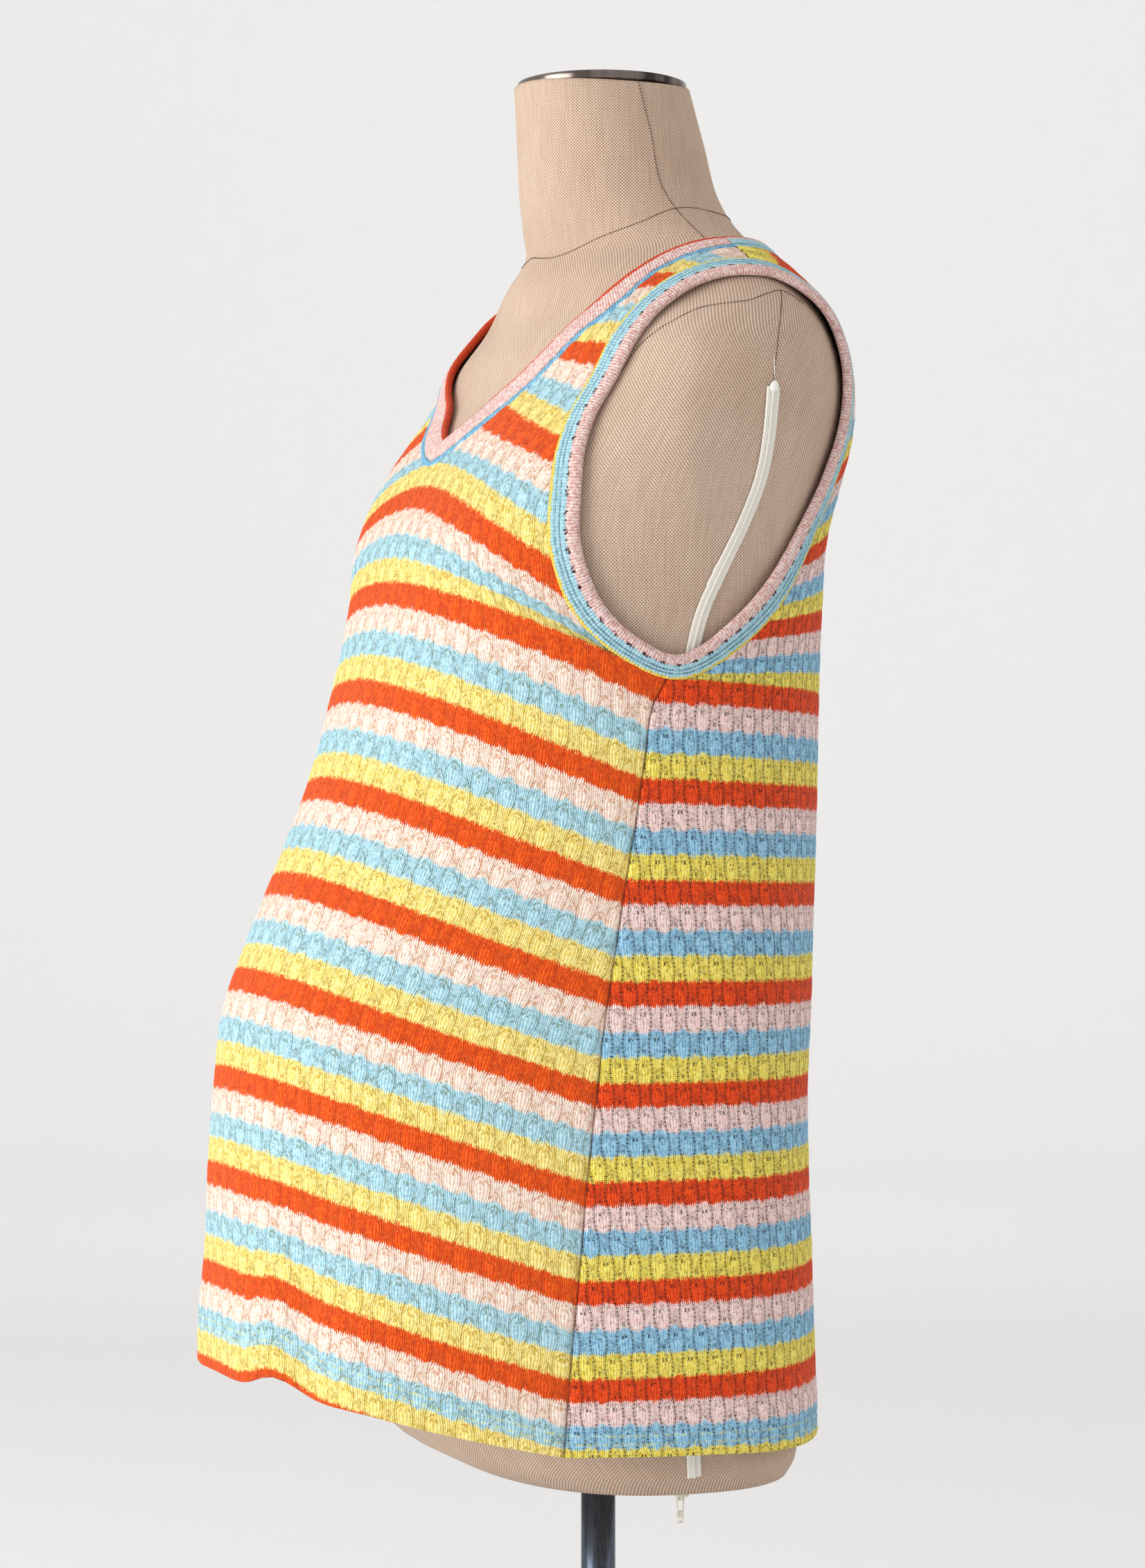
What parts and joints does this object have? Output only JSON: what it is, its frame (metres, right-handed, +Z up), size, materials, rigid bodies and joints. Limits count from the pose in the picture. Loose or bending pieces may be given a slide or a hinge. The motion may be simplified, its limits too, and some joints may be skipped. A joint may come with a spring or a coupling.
{
  "type": "tank top on a maternity dress form",
  "caption": "Striped knit tank top with a V-neck and doubled hem, worn by a limbless linen maternity dress form on a round counter stand.",
  "frame": {"origin": "centre of the underside of the stand's base", "axes": "+Z up, -Y the way the wearer faces, +X the wearer's left"},
  "size_m": [0.3532, 0.3838, 1.0574],
  "materials": {
    "knit": "striped cotton pointelle knit",
    "band": "folded knit band, pink with a blue edge",
    "armband": "folded knit band, pink and blue",
    "linen": "plain linen cover",
    "cap": "satin",
    "tape": "woven zip tape",
    "pull": "cream enamel",
    "steel": "dark satin"
  },
  "bodies": {
    "top_on_form": {"front_panel": "knit", "back_panel": "knit", "neckband_front": "band", "neckband_back": "band", "armhole_band_left": "armband", "armhole_band_right": "armband", "dress_form": "linen", "neck_cap": "cap", "zip_tape": "tape", "zip_slider": "pull", "stand_base": "steel", "stand_pole": "steel"},
    "pull": {"zip_pull": "pull"}
  },
  "joints": [
    {"name": "zip_pull_swing", "type": "hinge", "parent": "top_on_form", "child": "pull", "pos_m": [0.1265, -0.0055, 0.2555], "axis": [0, 1, 0], "range_deg": [-50, 50]}
  ]
}
